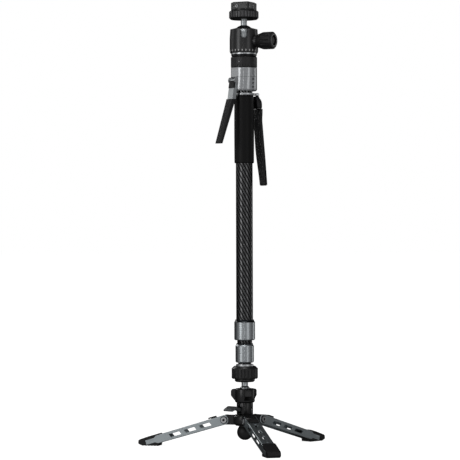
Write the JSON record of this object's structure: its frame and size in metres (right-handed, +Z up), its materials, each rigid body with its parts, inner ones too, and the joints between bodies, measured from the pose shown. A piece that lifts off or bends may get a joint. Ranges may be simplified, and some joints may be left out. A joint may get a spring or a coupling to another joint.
{
  "type": "camera monopod",
  "caption": "Telescopic camera monopod on short folding legs, with hand lever release, foot pedal, wrist strap and a ball head with a quick-release plate.",
  "frame": {"origin": "on the column's axis at floor level", "axes": "+Z up along the column, -Y towards the front, from where the picture was taken, +X to its right"},
  "size_m": [0.3175, 0.3158, 0.7419],
  "materials": {
    "black_anodised": "satin black anodised",
    "grey_anodised": "satin grey anodised",
    "black_knurled": "black anodised, grooved",
    "bright_aluminium": "polished",
    "leg_grey": "satin blue-grey anodised",
    "carbon": "woven carbon fibre under clear resin",
    "steel": "bright steel",
    "black_rubber": "moulded rubber",
    "foam": "fine matt foam",
    "webbing": "woven flat webbing",
    "black_plastic": "matt",
    "acetal": "smooth sliding plastic"
  },
  "bodies": {
    "base": {"base_hub": "black_anodised", "dome_foot": "black_rubber", "base_column": "black_anodised", "pedal_pin": "steel", "cup_springs": "steel", "leg_pivot_screws": "steel"},
    "plunger": {"seat_plunger": "steel"},
    "ball_seat": {"ball_seat": "acetal"},
    "pedal": {"pedal": "grey_anodised"},
    "tilt_lock_collar": {"tilt_lock_collar": "black_anodised"},
    "column_stem": {"base_ball_stem": "bright_aluminium", "base_flange": "black_anodised"},
    "lower_tube": {"tube_3": "carbon", "pan_fitting": "black_anodised", "tube_3_end_ring": "bright_aluminium", "lock_plug_3": "grey_anodised", "lock_ring_3": "acetal"},
    "pan_lock_collar": {"pan_lock_collar": "black_knurled"},
    "lower_cam": {"release_cam_3": "grey_anodised"},
    "middle_tube": {"tube_2": "carbon", "end_collar_2": "grey_anodised", "guide_bush_2": "acetal", "lock_plug_2": "grey_anodised", "lock_ring_2": "acetal"},
    "release_tube": {"release_tube": "grey_anodised"},
    "upper_tube": {"tube_1": "carbon", "end_collar_1": "grey_anodised", "guide_bush_1": "acetal", "grip_sleeve": "foam", "strap_ring": "black_anodised", "top_housing": "grey_anodised", "lever_pin": "steel", "head_platform": "black_anodised", "head_base": "grey_anodised"},
    "hand_lever": {"hand_lever": "grey_anodised", "lever_grip": "black_rubber"},
    "shift_sleeve": {"shift_sleeve": "acetal"},
    "release_rod": {"release_rod": "grey_anodised"},
    "strap": {"strap_clip": "black_plastic", "strap_webbing": "webbing"},
    "head_lock_collar": {"head_lock_collar": "black_knurled"},
    "head": {"head_body": "black_anodised", "ball_cup": "acetal"},
    "lock_knob": {"lock_knob": "black_rubber"},
    "ball": {"head_ball_stem": "bright_aluminium"},
    "clamp": {"clamp_base": "black_anodised"},
    "clamp_ring": {"clamp_ring": "black_knurled"},
    "clamp_jaw": {"clamp_jaw": "black_anodised"},
    "plate": {"qr_plate": "black_anodised", "plate_pad": "black_rubber"},
    "camera_screw": {"camera_screw": "steel"},
    "leg_front": {"leg_channel_front": "leg_grey", "leg_foot_front": "black_rubber"},
    "latch_front": {"leg_latch_front": "black_plastic"},
    "leg_left": {"leg_channel_left": "leg_grey", "leg_foot_left": "black_rubber"},
    "latch_left": {"leg_latch_left": "black_plastic"},
    "leg_right": {"leg_channel_right": "leg_grey", "leg_foot_right": "black_rubber"},
    "latch_right": {"leg_latch_right": "black_plastic"}
  },
  "joints": [
    {"name": "leg_fold_front", "type": "hinge", "parent": "base", "child": "leg_front", "pos_m": [0.00833, -0.03245, 0.046], "axis": [-0.9686, -0.2487, 0], "range_deg": [0, 106.7]},
    {"name": "latch_pull_front", "type": "slide", "parent": "leg_front", "child": "latch_front", "axis": [0.2382, -0.9277, -0.2874], "range_m": [0, 0.003], "stiffness_N_per_m": 500, "springref_m": -0.0004},
    {"name": "leg_fold_left", "type": "hinge", "parent": "base", "child": "leg_left", "pos_m": [-0.03227, 0.00901, 0.046], "axis": [0.2689, 0.9632, 0], "range_deg": [0, 106.7]},
    {"name": "latch_pull_left", "type": "slide", "parent": "leg_left", "child": "latch_left", "axis": [-0.9225, 0.2576, -0.2874], "range_m": [0, 0.003], "stiffness_N_per_m": 500, "springref_m": -0.0004},
    {"name": "leg_fold_right", "type": "hinge", "parent": "base", "child": "leg_right", "pos_m": [0.02394, 0.02344, 0.046], "axis": [0.6997, -0.7145, 0], "range_deg": [0, 106.7]},
    {"name": "latch_pull_right", "type": "slide", "parent": "leg_right", "child": "latch_right", "axis": [0.6843, 0.6702, -0.2874], "range_m": [0, 0.003], "stiffness_N_per_m": 500, "springref_m": -0.0004},
    {"name": "pedal_press", "type": "hinge", "parent": "base", "child": "pedal", "pos_m": [0.00214, 0.0021, 0.064], "axis": [0.6997, -0.7145, 0], "range_deg": [0, 12], "stiffness_Nm_per_rad": 1.5, "springref_deg": -0.86},
    {"name": "plunger_drop", "type": "slide", "parent": "base", "child": "plunger", "axis": [0, 0, 1], "range_m": [-0.000628, 0], "stiffness_N_per_m": 500, "springref_m": 0.0006, "deforming": ["cup_springs"]},
    {"name": "base_ball_turn", "type": "hinge", "parent": "base", "child": "ball_seat", "pos_m": [0, 0, 0.088], "axis": [0, 0, 1], "continuous": true},
    {"name": "column_tilt", "type": "hinge", "parent": "ball_seat", "child": "column_stem", "pos_m": [0, 0, 0.088], "axis": [1, 0, 0], "range_deg": [-20, 0]},
    {"name": "tilt_lock_turn", "type": "hinge", "parent": "base", "child": "tilt_lock_collar", "pos_m": [0, 0, 0.088], "axis": [0, 0, 1], "range_deg": [-40, 0]},
    {"name": "column_pan", "type": "hinge", "parent": "column_stem", "child": "lower_tube", "pos_m": [0, 0, 0.12], "axis": [0, 0, 1], "continuous": true},
    {"name": "pan_lock_turn", "type": "hinge", "parent": "lower_tube", "child": "pan_lock_collar", "pos_m": [0, 0, 0.125], "axis": [0, 0, 1], "range_deg": [0, 45]},
    {"name": "lower_cam_turn", "type": "hinge", "parent": "lower_tube", "child": "lower_cam", "pos_m": [0, 0, 0.535], "axis": [0, 0, 1], "range_deg": [0, 31]},
    {"name": "middle_tube_slide", "type": "slide", "parent": "lower_tube", "child": "middle_tube", "axis": [0, 0, 1], "range_m": [0, 0.34]},
    {"name": "release_tube_turn", "type": "hinge", "parent": "middle_tube", "child": "release_tube", "pos_m": [0, 0, 0.566], "axis": [0, 0, 1], "range_deg": [0, 31]},
    {"name": "upper_tube_slide", "type": "slide", "parent": "middle_tube", "child": "upper_tube", "axis": [0, 0, 1], "range_m": [0, 0.34]},
    {"name": "lever_squeeze", "type": "hinge", "parent": "upper_tube", "child": "hand_lever", "pos_m": [-0.01724, -0.01446, 0.611], "axis": [0.6428, -0.766, 0], "range_deg": [0, 11], "stiffness_Nm_per_rad": 4, "springref_deg": -2.86},
    {"name": "sleeve_lift", "type": "slide", "parent": "upper_tube", "child": "shift_sleeve", "axis": [0, 0, 1], "range_m": [0, 0.003]},
    {"name": "rod_turn", "type": "hinge", "parent": "upper_tube", "child": "release_rod", "pos_m": [0, 0, 0.61], "axis": [0, 0, 1], "range_deg": [0, 31]},
    {"name": "strap_swing", "type": "hinge", "parent": "upper_tube", "child": "strap", "pos_m": [0.0218, 0.00793, 0.5885], "axis": [0.342, -0.9397, 0], "range_deg": [0, 100]},
    {"name": "head_lock_turn", "type": "hinge", "parent": "upper_tube", "child": "head_lock_collar", "pos_m": [0, 0, 0.64], "axis": [0, 0, 1], "range_deg": [0, 60]},
    {"name": "head_pan", "type": "hinge", "parent": "upper_tube", "child": "head", "pos_m": [0, 0, 0.66], "axis": [0, 0, 1], "continuous": true},
    {"name": "knob_turn", "type": "hinge", "parent": "head", "child": "lock_knob", "pos_m": [0.02624, -0.01454, 0.67625], "axis": [0.8746, -0.4848, 0], "range_deg": [0, 270]},
    {"name": "ball_tilt", "type": "hinge", "parent": "head", "child": "ball", "pos_m": [0, 0, 0.68625], "axis": [1, 0, 0], "range_deg": [-25, 90]},
    {"name": "ball_spin", "type": "hinge", "parent": "ball", "child": "clamp", "pos_m": [0, 0, 0.71], "axis": [0, 0, 1], "continuous": true},
    {"name": "clamp_ring_turn", "type": "hinge", "parent": "clamp", "child": "clamp_ring", "pos_m": [0, 0, 0.72], "axis": [0, 0, 1], "range_deg": [0, 45]},
    {"name": "jaw_slide", "type": "slide", "parent": "clamp", "child": "clamp_jaw", "axis": [0.8973, -0.4415, 0], "range_m": [0, 0.00121]},
    {"name": "plate_slide", "type": "slide", "parent": "clamp", "child": "plate", "axis": [-0.4415, -0.8973, 0], "range_m": [-0.034, 0.034]},
    {"name": "camera_screw_lift", "type": "slide", "parent": "plate", "child": "camera_screw", "axis": [0, 0, 1], "range_m": [0, 0.0047]}
  ],
  "couplings": [
    {"joint": "pedal_press", "follows": "plunger_drop", "rad_per_m": -333.3},
    {"joint": "sleeve_lift", "follows": "lever_squeeze", "m_per_rad": 0.015},
    {"joint": "rod_turn", "follows": "lever_squeeze", "ratio": 2.727},
    {"joint": "release_tube_turn", "follows": "lever_squeeze", "ratio": 2.727},
    {"joint": "lower_cam_turn", "follows": "lever_squeeze", "ratio": 2.727},
    {"joint": "jaw_slide", "follows": "clamp_ring_turn", "m_per_rad": 0.0015279}
  ]
}
